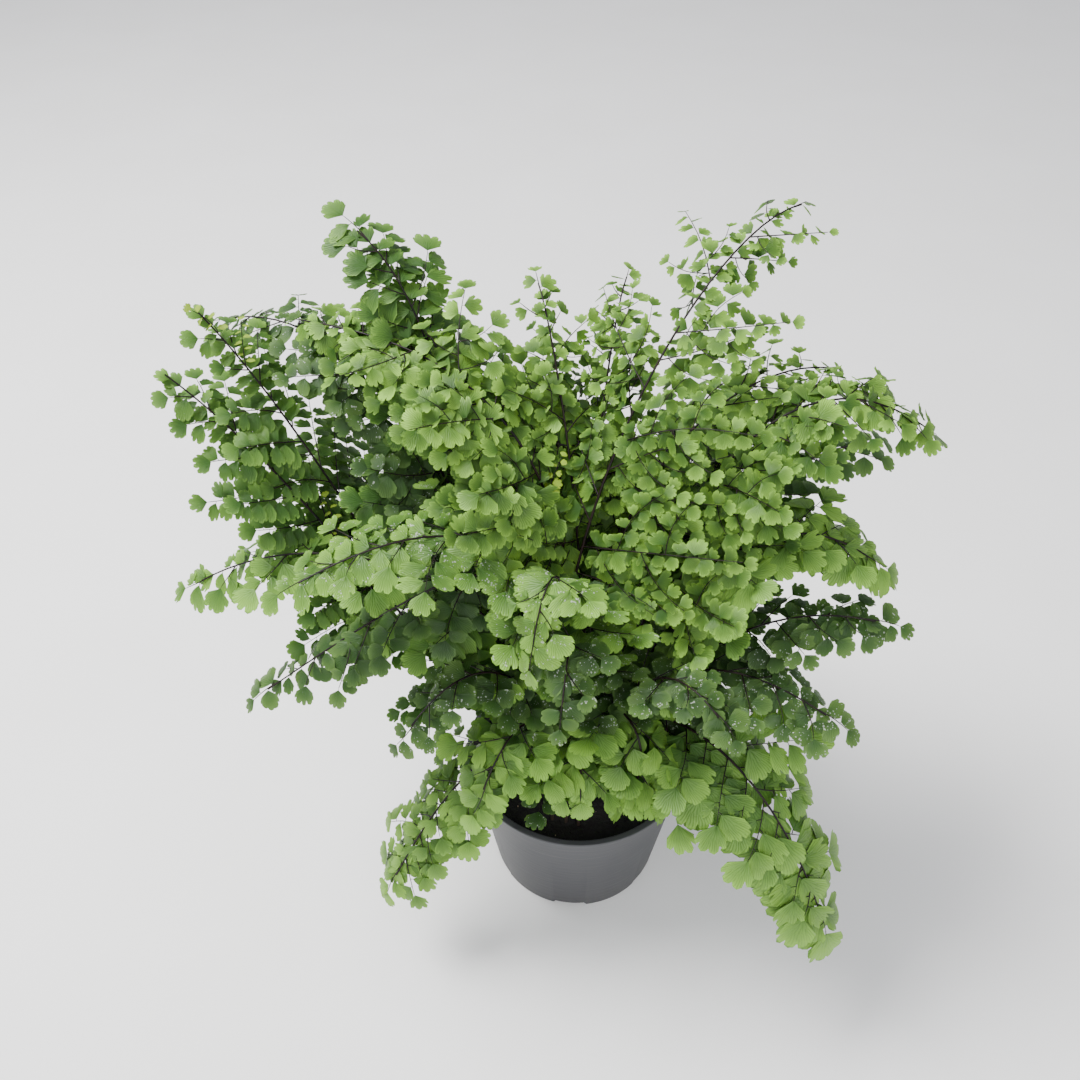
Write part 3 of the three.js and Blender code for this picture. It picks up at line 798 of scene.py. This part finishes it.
def leafing_tree():
    """Turns ribs into leaflets set alternately along them, or into the stalks that carry those."""
    tree = bpy.data.node_groups.new("leafing", "GeometryNodeTree")
    graph, given = tree_inputs(
        tree,
        {
            "Ribs": ("Geometry", None),
            "Leaflets": ("Collection", None),
            "Shapes": ("Int", 4),
            "Spread": ("Float", 1.2),
            "Droop": ("Float", 0.25),
            "Shingle": ("Float", 0.22),
            "Looseness": ("Float", 0.22),
            "Stalks": ("Bool", False),
            "Stalk sides": ("Int", 5),
            "Seed": ("Int", 1),
            "Finish": ("Material", None),
        },
    )
    node, chance, read = graph.node, graph.chance, graph.read
    seed, loose, shapes = given["Seed"], given["Looseness"], given["Shapes"]

    curve = node("GeometryNodeMeshToCurve", sockets={"Mesh": given["Ribs"]})
    leafy = node("GeometryNodeSeparateGeometry", {"domain": "CURVE"}, {0: curve, 1: read("size") > 0.0001})
    along = node("GeometryNodeSplineParameter")
    factor = along.out("Factor")
    spaced = node("GeometryNodeResampleCurve", {"mode": "LENGTH"}, {"Curve": leafy, "Length": read("gap")})
    points = graph.stored(spaced, "POINT", "fresh", read("fresh") + 0.3 * factor)
    ended = node("GeometryNodeCurveEndpointSelection", sockets={"Start Size": 0, "End Size": 1})
    side = 1 - 2 * ((along.out("Index") + read("first")) % 2)

    tangent = node("GeometryNodeInputTangent")
    up = graph.vector("NORMALIZE", read("up", "FLOAT_VECTOR"))
    beside = graph.vector("NORMALIZE", graph.vector("CROSS_PRODUCT", up, tangent))

    def turned_by(angle, first, second, join="ADD"):
        """The first direction turned by an angle towards the second, or away from it."""
        ahead, aside = graph.math("COSINE", angle), graph.math("SINE", angle)
        return graph.vector(join, graph.scaled(first, ahead), graph.scaled(second, aside))

    spread = (given["Spread"] + chance(-1, 1, seed + 1) * (0.07 + 0.3 * loose)) * (1 - ended) * side
    ahead = turned_by(spread, tangent, beside)
    fall = given["Droop"] + chance(-0.5, 0.5, seed + 2) * (0.2 + loose)
    out, face = turned_by(fall, ahead, up, "SUBTRACT"), turned_by(fall, up, ahead)
    axes = {"primary_axis": "X", "secondary_axis": "Z"}
    set_out = node("FunctionNodeAxesToRotation", axes, {"Primary Axis": out, "Secondary Axis": face})
    rolled = chance(-1, 1, seed + 3) * loose + side * given["Shingle"] * (1 - ended)
    roll = node("ShaderNodeCombineXYZ", sockets={0: rolled, 1: 0.0, 2: chance(-0.15, 0.15, seed + 4)})
    rotation = node(
        "FunctionNodeRotateRotation",
        {"rotation_space": "LOCAL"},
        {"Rotation": set_out, "Rotate By": node("FunctionNodeEulerToRotation", sockets={"Euler": roll})},
    )
    pick = chance(0, shapes - 1, seed + 5, "INT") + shapes * (side > 0)
    end_pick = 2 * shapes + chance(0, len(END_SHAPES) - 1, seed + 6, "INT")
    size = read("size") * (1 + chance(-1, 0.8, seed + 7) * (0.06 + 0.3 * loose)) * (1.14 - 0.34 * factor)
    leaves = graph.strewn(
        given["Leaflets"],
        seed + 8,
        {
            "Points": points,
            "Selection": along.out("Length") > read("start"),
            "Instance Index": pick * (1 - ended) + end_pick * ended,
            "Rotation": rotation,
            "Scale": size,
        },
    )
    real = node("GeometryNodeRealizeInstances", sockets={"Geometry": leaves})
    parts = node("GeometryNodeSeparateGeometry", {"domain": "FACE"}, {0: real, 1: read("stalk", "BOOLEAN")})

    ring = node("GeometryNodeCurvePrimitiveCircle", sockets={"Resolution": given["Stalk sides"], "Radius": 1.0})
    tube = node(
        "GeometryNodeCurveToMesh",
        sockets={"Curve": curve, "Profile Curve": ring, "Scale": read("radius"), "Fill Caps": True},
    )
    smooth = node("GeometryNodeSetShadeSmooth", sockets={"Geometry": tube})
    both = node("GeometryNodeJoinGeometry")
    graph.link(smooth, both.socket.node.inputs[0])
    graph.link(parts, both.socket.node.inputs[0])
    sockets = {"Switch": given["Stalks"], "False": parts.out("Inverted"), "True": both}
    tree_result(graph, node("GeometryNodeSwitch", sockets=sockets), given["Finish"])
    return tree


def crumb_store():
    """Three crumbs of potting soil of unit size: lumps of few faces, each pressed out of round."""
    store = bpy.data.collections.new("crumbs")
    for i, stretch in enumerate(((1, 0.8, 0.6), (1, 0.45, 0.35), (0.8, 0.9, 0.7))):
        build = bmesh.new()
        bmesh.ops.create_icosphere(build, subdivisions=1, radius=0.5)
        for vertex in build.verts:
            bump = 1 + 0.5 * noise.noise(vertex.co * 3 + Vector((i * 5, 0, 0)))
            vertex.co = Vector(c * k * bump for c, k in zip(vertex.co, stretch))
        store.objects.link(bpy.data.objects.new(f"crumb_{i}", mesh_from(f"crumb_{i}", build)))
    return store


def crumbling_tree():
    """Scatters crumbs over the upper faces of a bed of soil."""
    tree = bpy.data.node_groups.new("crumbling", "GeometryNodeTree")
    graph, given = tree_inputs(
        tree,
        {
            "Bed": ("Geometry", None),
            "Crumbs": ("Collection", None),
            "Density": ("Float", 40000.0),
            "Smallest": ("Float", 0.0006),
            "Largest": ("Float", 0.003),
            "Seed": ("Int", 4),
            "Finish": ("Material", None),
        },
    )
    seed, least = given["Seed"], given["Smallest"]
    height = graph.node("ShaderNodeSeparateXYZ", sockets={0: graph.node("GeometryNodeInputNormal")}).out("Z")
    sockets = {"Mesh": given["Bed"], "Selection": height > 0.4, "Density": given["Density"], "Seed": seed}
    turn = graph.chance((0, 0, 0), (6.3, 6.3, 6.3), seed, "FLOAT_VECTOR")
    crumbs = graph.strewn(
        given["Crumbs"],
        seed + 2,
        {
            "Points": graph.node("GeometryNodeDistributePointsOnFaces", sockets=sockets),
            "Rotation": graph.node("FunctionNodeEulerToRotation", sockets={"Euler": turn}),
            "Scale": least + (given["Largest"] - least) * graph.chance(0.0, 1.0, seed + 1) ** 3,
        },
    )
    tree_result(graph, crumbs, given["Finish"])
    return tree


# Pot and soil


def wall_radius(z):
    """The outer radius of the pot's plain wall at a height, in millimetres."""
    return lerp(POT.base, POT.rim - POT.lip_out - POT.step, z / POT.height)


def turned(build, profile, sides):
    """Adds a turned body: a closed profile of (radius, height) in millimetres from axis to axis."""
    rings = []
    for radius, z in profile:
        if radius == 0:
            rings.append([build.verts.new((0, 0, z * MM))] * sides)
            continue
        ring = []
        for i in range(sides):
            angle = 2 * math.pi * i / sides
            ring.append(build.verts.new((radius * MM * math.cos(angle), radius * MM * math.sin(angle), z * MM)))
        rings.append(ring)
    skin(build, rings)
    bmesh.ops.recalc_face_normals(build, faces=build.faces)


def rounded(profile, radius, steps=4):
    """A profile with each corner but its ends rounded."""
    points = [Vector(p) for p in profile]
    made = [points[0]]
    for before, corner, after in zip(points, points[1:], points[2:]):
        cut = min(radius, (corner - before).length * 0.45, (after - corner).length * 0.45)
        start = corner + (before - corner).normalized() * cut
        end = corner + (after - corner).normalized() * cut
        for i in range(steps + 1):
            t = i / steps
            made.append(start * (1 - t) ** 2 + corner * 2 * t * (1 - t) + end * t * t)
    made.append(points[-1])
    return made


def body(name, build, finish, slot, *nodes):
    """A finished piece from a bmesh."""
    return dressed(placed(name, mesh_from(name, build)), finish, slot, *nodes)


def dressed(piece, finish, slot, *nodes):
    """A piece with its one finish, riding on the plant's only body."""
    piece.data.materials.clear()
    piece.data.materials.append(finish)
    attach(piece, "root")
    if nodes:
        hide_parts(*nodes)
    return piece


def smooth_but_edges(build, degrees):
    """Smooth faces, with the edges sharper than this angle kept."""
    for face in build.faces:
        face.smooth = True
    for edge in build.edges:
        if len(edge.link_faces) == 2:
            edge.smooth = edge.calc_face_angle() < math.radians(degrees)


def make_pot(finish):
    """The pot, turned in one piece, with notches cut through the edge of its base."""
    height, step, wall = POT.height, POT.step, POT.wall
    collar_low, lip_low = height - POT.collar, height - POT.lip_height
    outer = [
        (0, 0),
        (wall_radius(0), 0),
        (wall_radius(collar_low), collar_low),
        (wall_radius(collar_low) + step, collar_low + step),
        (wall_radius(lip_low) + step, lip_low),
        (POT.rim, lip_low + POT.lip_out),
        (POT.rim, height),
        (wall_radius(height) - wall, height),
        (wall_radius(POT.floor) - wall, POT.floor),
        (0, POT.floor),
    ]
    build = bmesh.new()
    turned(build, rounded(outer, POT.rounding), POT.sides)
    piece = placed("pot_wall", mesh_from("pot_wall", build))
    cuts = bmesh.new()
    for i in range(NOTCH.count):
        turn = Matrix.Rotation(math.radians(NOTCH.first + 360 * i / NOTCH.count), 4, "Z")
        notch_block(cuts, turn)
    cutter = placed("notches", mesh_from("notches", cuts))
    modifier = piece.modifiers.new("notches", "BOOLEAN")
    modifier.object = cutter
    modifier.operation = "DIFFERENCE"
    modifier.solver = "EXACT"
    cut = worked(piece, modifier)
    bpy.data.objects.remove(cutter)
    bpy.data.objects.remove(piece)
    build = bmesh.new()
    build.from_mesh(cut)
    smooth_but_edges(build, POT.keen_edge)
    return body("pot_wall", build, finish, "pot_plastic", "pot")


def notch_block(build, turn):
    """One block that cuts a low arch outwards through the edge of the pot's base."""
    near, far = POT.base - NOTCH.reach, POT.base + NOTCH.reach
    half, half_top, low, high = NOTCH.width / 2, NOTCH.top / 2, -NOTCH.below, NOTCH.height
    shape = [(-half, low), (half, low), (half_top, high), (-half_top, high)]
    ends = [[build.verts.new(turn @ Vector((x, y, z)) * MM) for y, z in shape] for x in (near, far)]
    build.faces.new(ends[0][::-1])
    build.faces.new(ends[1])
    skin(build, ends)


def make_soil(finish, crumb_finish):
    """The bed of soil, uneven on top, and the crumbs that lie on it."""
    gap = POT.wall + SOIL.clear
    bottom = POT.floor + SOIL.clear
    edge, slope, rings = SOIL.rim, SOIL.slope, SOIL.rings
    rim = wall_radius(edge) - gap
    profile = [(0, bottom), (wall_radius(bottom) - gap, bottom), (rim, edge)]
    for radius in (rim * (1 - i / rings) for i in range(1, rings)):
        share = max(0, min(1, (SOIL.flat + slope - radius) / slope))
        profile.append((radius, lerp(edge, SOIL.crown, share)))
    profile.append((0, SOIL.crown))
    build = bmesh.new()
    turned(build, profile, SOIL.sides)
    for vertex in build.verts:
        place = vertex.co / MM
        radius = math.hypot(place.x, place.y)
        if place.z > edge - 1 and radius < rim - 0.5:
            rough = noise.fractal(place * LUMPS.scale, 1.0, 2.0, 4) * LUMPS.height - LUMPS.sunk
            vertex.co.z += rough * MM * min(1, (rim - radius) / LUMPS.calm_edge)
    for face in build.faces:
        face.smooth = True
    soil = body("soil_bed", build, finish, "potting_soil", "soil")
    given = {"Crumbs": crumb_store(), "Finish": crumb_finish}
    crumbs = grow("soil_crumbs", soil.data.copy(), crumbling_tree(), **given)
    return soil, dressed(crumbs, crumb_finish, "potting_soil")


def make_stubs(finish):
    """The stubs of old stalks, each a bent and frayed peg with a cut top."""
    build = bmesh.new()
    sides, top = STUB.sides, STUB.rings - 1
    for i, height in enumerate(STUB.heights):
        turn = Matrix.Rotation(math.radians(STUB.angle), 4, "Z")
        foot = turn @ Vector((STUB.distance, STUB.pitch * (i - 1), SOIL.rim))
        rings = []
        for k in range(STUB.rings):
            t = k / top
            size = lerp(*STUB.radii, t) * (1 + STUB.uneven * noise.noise(Vector((i * 7, 0, t * 6))))
            bend = STUB.lean * t * t
            lean = Vector((bend * math.sin(i * 2.1), bend * math.cos(i * 1.7), 0))
            ring = []
            for n in range(sides):
                angle = 2 * math.pi * n / sides
                out = Vector((size * math.cos(angle), size * math.sin(angle), 0))
                spot = foot + lean + out + UP * lerp(-STUB.sunk, height, t)
                if k == top:
                    spot.z += STUB.fray * math.cos(angle + i)
                ring.append(build.verts.new(spot * MM))
            rings.append(ring)
        skin(build, rings)
        build.faces.new(rings[0][::-1])
        build.faces.new(rings[-1])
    smooth_but_edges(build, STUB.keen_edge)
    nodes = [f"old_stalk_{i + 1}" for i in range(len(STUB.heights))]
    return body("old_stubs", build, finish, "stem_black", *nodes)


# Finishes. The scales of noise and cells are in so many to the metre, and depths are in metres.


# The colours of the leaves of each age, from dark to bright, and then those that are laid over a finish.
LEAF_COLOURS = {
    "young": ((0.033, 0.092, 0.013), (0.114, 0.236, 0.032), (0.32, 0.6, 0.078)),
    "mature": ((0.042, 0.108, 0.018), (0.124, 0.258, 0.04), (0.262, 0.5, 0.07)),
    "old": ((0.016, 0.045, 0.01), (0.045, 0.1, 0.023), (0.125, 0.228, 0.052)),
}
NEW_SHOOT = (0.42, 0.6, 0.05, 1)
UNDERSIDE = (0.2, 0.32, 0.13, 1)
DRIED_WATER = (0.66, 0.72, 0.6, 1)
SEEN_THROUGH = (0.26, 0.5, 0.05, 1)
DUST = (0.4, 0.38, 0.35, 1)
SCUFF = (0.015, 0.014, 0.015, 1)


def finish_graph(name):
    material = bpy.data.materials.new(name)
    material.use_nodes = True
    material.node_tree.nodes.clear()
    return material, Graph(material.node_tree)


def surfaced(material, graph, looks):
    """Ends a finish that is one plain surface with these looks."""
    surface = graph.node("ShaderNodeBsdfPrincipled", sockets=looks)
    graph.node("ShaderNodeOutputMaterial", sockets={"Surface": surface})
    return material


def own_place(graph):
    """The place on a piece, in metres."""
    return graph.node("ShaderNodeTexCoord").out("Object")


def object_noise(graph, scale, detail=3.0, stretch=None):
    """Noise on the piece's own place, as a number from 0 to 1."""
    place = own_place(graph)
    if stretch:
        place = graph.vector("MULTIPLY", place, stretch)
    return graph.node("ShaderNodeTexNoise", {}, {"Vector": place, "Scale": scale, "Detail": detail}).out("Fac")


def cells(graph, scale):
    """The distance to the nearest of many scattered points on the piece's own place."""
    return graph.node("ShaderNodeTexVoronoi", {}, {"Vector": own_place(graph), "Scale": scale}).out("Distance")


def carried(graph, name):
    """What the mesh carries under a name, as a number."""
    return graph.node("ShaderNodeAttribute", {"attribute_name": name}).out("Fac")


def ramp(graph, value, *stops):
    marks = [(place, (*colour, 1)) for place, colour in stops]
    return graph.node("ShaderNodeValToRGB", {"stops": marks}, {"Fac": value})


def bump(graph, height, depth, strength=1.0):
    return graph.node("ShaderNodeBump", {}, {"Height": height, "Distance": depth, "Strength": strength})


def leaf_finish(name, dark, middle, bright, limed):
    """A leaf's blade: darker at its foot and paler at its lobes, with fine forking veins, an uneven tone from
    leaflet to leaflet, painted shade on pinnae that lie in shade, a dull underside, and white specks of dried
    hard water where it is limed."""
    material, graph = finish_graph(name)
    node = graph.node
    chart = node("ShaderNodeSeparateXYZ", {}, {0: node("ShaderNodeUVMap", {"uv_map": "leaf"})})
    across, out = chart.out("X"), chart.out("Y")
    tone, fresh, under = (carried(graph, attribute) for attribute in ("tone", "fresh", "under"))

    # The veins fork half way out.
    veins = graph.math("SINE", across * (57 + 57 * (out > 0.5)))
    lines = (veins * 0.5 + 0.5) ** 4
    cloud = object_noise(graph, 160.0)
    # How light the blade is: 0 is dark and 1 is bright. The pinna's carried freshness brings in its painted
    # shade and light.
    light = 0.06 + 0.36 * tone + 0.34 * fresh + 0.34 * (cloud - 0.5) + 0.66 * (out - 0.46) - 0.2 * lines
    colour = ramp(graph, light, (0.0, dark), (0.5, middle), (1.0, bright))
    colour = graph.mix((out > 0.93) * 0.35, colour, (*bright, 1))
    colour = graph.mix((fresh > 1.8) * 0.85, colour, NEW_SHOOT)
    colour = graph.mix(under * 0.45, colour, UNDERSIDE)

    # Specks are ragged spots of many sizes, in patches, and on the upper face alone.
    sizes = 1.7 * (object_noise(graph, 330.0, 2.0) - 0.43) * limed
    patches = object_noise(graph, 60.0, 1.0) > 0.68 - 0.26 * limed
    specks = (cells(graph, 950.0) < sizes) * patches * (under < 0.4)
    looks = {
        "Base Color": graph.mix(specks * 0.65, colour, DRIED_WATER),
        "Roughness": 0.36 + 0.18 * cloud + 0.3 * specks,
        "Specular IOR Level": 0.3,
        "Normal": bump(graph, lines * -0.5 + cloud + specks * 0.4, 0.0004, 0.8),
    }
    blade = node("ShaderNodeBsdfPrincipled", sockets=looks)
    through = node("ShaderNodeBsdfTranslucent", sockets={"Color": SEEN_THROUGH})
    shader = node("ShaderNodeMixShader", sockets={0: 0.22, 1: blade, 2: through})
    node("ShaderNodeOutputMaterial", sockets={"Surface": shader})
    return material


def stalk_finish():
    """Wiry black stalks, a little brown where they catch the light."""
    material, graph = finish_graph("wiry_black_stalk")
    streaks = object_noise(graph, 300.0, 2.0, (1, 1, 0.15))
    looks = {
        "Base Color": ramp(graph, streaks, (0.3, (0.004, 0.003, 0.003)), (0.8, (0.022, 0.011, 0.008))),
        "Roughness": 0.34 + 0.25 * streaks,
        "Specular IOR Level": 0.25,
        "Normal": bump(graph, streaks, 0.0002, 0.4),
    }
    return surfaced(material, graph, looks)


def stub_finish():
    """Old cut stalks: dull dark brown, paler in their fibres."""
    material, graph = finish_graph("old_cut_stalk")
    fibres = object_noise(graph, 900.0, 3.0, (1, 1, 0.12))
    looks = {
        "Base Color": ramp(graph, fibres, (0.3, (0.012, 0.008, 0.006)), (0.75, (0.07, 0.045, 0.03))),
        "Roughness": 0.7 + 0.2 * fibres,
        "Normal": bump(graph, fibres, 0.0004),
    }
    return surfaced(material, graph, looks)


def pot_finish():
    """Satin moulded plastic, with painted light from above that makes it lighter towards its top, the drag lines
    of its mould, dust towards its foot and a few small scuffs.
    """
    material, graph = finish_graph("grey_nursery_plastic")
    height = graph.node("ShaderNodeSeparateXYZ", {}, {0: own_place(graph)}).out("Z") / (POT.height * MM)
    cloud = object_noise(graph, 30.0, 4.0)
    drag = object_noise(graph, 60.0, 2.0, (1, 1, 9))
    grain = object_noise(graph, 1500.0, 2.0)
    # Its cloudy tone and mould drag lines, and painted light: the wall grows lighter towards its top.
    shade = 0.35 * cloud + 0.2 * drag + 0.4 * height
    colour = ramp(graph, shade, (0.2, (0.028, 0.029, 0.034)), (0.8, (0.062, 0.063, 0.067)))
    dust = (1 - height) ** 3 * cloud * 0.14
    colour = graph.mix(dust, colour, DUST)
    ragged = 0.26 * (object_noise(graph, 600.0, 2.0) - 0.2)
    scuffs = (cells(graph, 110.0) < ragged) * (object_noise(graph, 38.0, 1.0) > 0.5) * (height < 0.42)
    looks = {
        "Base Color": graph.mix(scuffs * 0.7, colour, SCUFF),
        "Roughness": 0.4 + 0.12 * cloud + 0.06 * drag + 0.3 * dust,
        "Specular IOR Level": 0.34,
        "Normal": bump(graph, grain * 0.3 + drag + cloud * 0.6, 0.0003, 0.35),
    }
    return surfaced(material, graph, looks)


def soil_finish(name, lightest):
    """Moist peat: nearly black, browner in its drier crumbs, with a few pale bits."""
    material, graph = finish_graph(name)
    lumps = object_noise(graph, 420.0, 5.0)
    damp = object_noise(graph, 60.0, 2.0)
    wet, moist, dry = (0.0025, 0.002, 0.002), (0.008, 0.0055, 0.0045), (0.028, 0.018, 0.013)
    colour = ramp(graph, 0.6 * lumps + 0.3 * damp, (0.3, wet), (0.6, moist), (0.85, dry))
    looks = {
        "Base Color": graph.mix((carried(graph, "tone") > 0.965) * 0.8, colour, (*lightest, 1)),
        "Roughness": 0.75 + 0.2 * lumps - 0.2 * damp,
        "Normal": bump(graph, lumps, 0.0012),
    }
    return surfaced(material, graph, looks)


# Stage


def make_stage():
    """A plain pale floor, soft light from above and from the front, and a pale sky all round."""
    left, right, near, far = -6, 6, -3, 9
    corners = [(left, near, 0), (right, near, 0), (right, far, 0), (left, far, 0)]
    mesh = bpy.data.meshes.new("floor")
    mesh.from_pydata(corners, [], [(0, 1, 2, 3)])
    floor = placed("floor", mesh)
    material, graph = finish_graph("pale_cloth")
    weave = object_noise(graph, 8.0, 3.0)
    colour = ramp(graph, weave, (0.3, (0.955, 0.945, 0.925)), (0.7, (0.985, 0.98, 0.965)))
    mesh.materials.append(surfaced(material, graph, {"Base Color": colour, "Roughness": 0.9}))

    lamp("overhead", place=(-0.8, 0.15, 1.6), aim=(0, 0, 0.2), size=0.9, power=59)
    lamp("front_fill", place=(0.3, -1.6, 1.1), aim=(0, 0, 0.15), size=1.6, power=24)
    world = bpy.data.worlds.new("studio")
    world.use_nodes = True
    sky = world.node_tree.nodes["Background"]
    sky.inputs["Color"].default_value = (0.9, 0.92, 1.0, 1)
    sky.inputs["Strength"].default_value = 0.63
    bpy.context.scene.world = world


def lamp(name, place, aim, size, power):
    light = bpy.data.lights.new(name, "AREA")
    light.shape = "DISK"
    light.size = size
    light.energy = power
    made = placed(name, light)
    made.location = place
    made.rotation_euler = (Vector(aim) - Vector(place)).to_track_quat("-Z", "Y").to_euler()


def make_camera():
    """The photograph's viewpoint."""
    spot = (0, -0.356, 0.565)
    yaw, pitch, roll = math.radians(-3.14), math.radians(42.66), 0.0065
    ahead = Vector((math.sin(yaw) * math.cos(pitch), math.cos(yaw) * math.cos(pitch), -math.sin(pitch)))
    right = Quaternion(ahead, roll) @ ahead.cross(UP).normalized()
    camera = bpy.data.cameras.new("camera")
    camera.sensor_width = 36
    camera.lens = 36.1
    made = placed("camera", camera)
    made.matrix_world = standing(spot, right, right.cross(ahead), -ahead)
    bpy.context.scene.camera = made


# The plant


def make_fronds(finishes, stalk):
    """A piece of leaflets for each frond, and one piece of all the stalks. Leaflets hang as loosely as is usual
    at the frond's age. The frond's own looseness, where it has one, only turns its lesser pinnae."""
    tree = leafing_tree()
    stores = {age: leaflet_store(age) for age in AGES}
    stalks = bmesh.new()
    for number, frond in enumerate(FRONDS):
        name, age, limed = frond[0], frond[6], frond[7] >= 0.5
        finish = finishes[age, limed]
        ribs = frond_ribs(number, frond)
        given = {
            "Leaflets": stores[age],
            "Shapes": len(SIDE_SHAPES[age]),
            "Looseness": AGES[age]["loose"],
            "Seed": 100 + 20 * number,
        }
        wiry = grow(name + "_stalks", ribs.copy(), tree, Stalks=True, Finish=stalk, **given)
        stalks.from_mesh(wiry.data)
        bpy.data.objects.remove(wiry)
        leaves = grow("leaves_" + name, ribs, tree, Finish=finish, **given)
        keep_layers(leaves.data, ("tone", "fresh", "under"))
        dressed(leaves, finish, "leaf_" + age, "frond_" + name)
    piece = body("wiry_stalks", stalks, stalk, "stem_black")
    keep_layers(piece.data, ())
    for store in stores.values():
        for leaflet in list(store.objects):
            bpy.data.objects.remove(leaflet)
        bpy.data.collections.remove(store)


def keep_layers(mesh, names):
    """Drops what the tree needed and the finish doesn't read."""
    own = {"position", "sharp_face", "sharp_edge", "material_index", "leaf", *names}
    for name in [a.name for a in mesh.attributes]:
        if name not in own and not name.startswith("."):
            mesh.attributes.remove(mesh.attributes[name])


make_camera()
make_stage()
finishes = {}
for age, colours in LEAF_COLOURS.items():
    finishes[age, False] = leaf_finish(f"{age}_leaf", *colours, 0.25)
    finishes[age, True] = leaf_finish(f"{age}_limed_leaf", *colours, 1.0)
make_pot(pot_finish())
make_soil(soil_finish("potting_soil", (0.05, 0.04, 0.03)), soil_finish("soil_crumbs", (0.4, 0.3, 0.2)))
make_stubs(stub_finish())
make_fronds(finishes, stalk_finish())
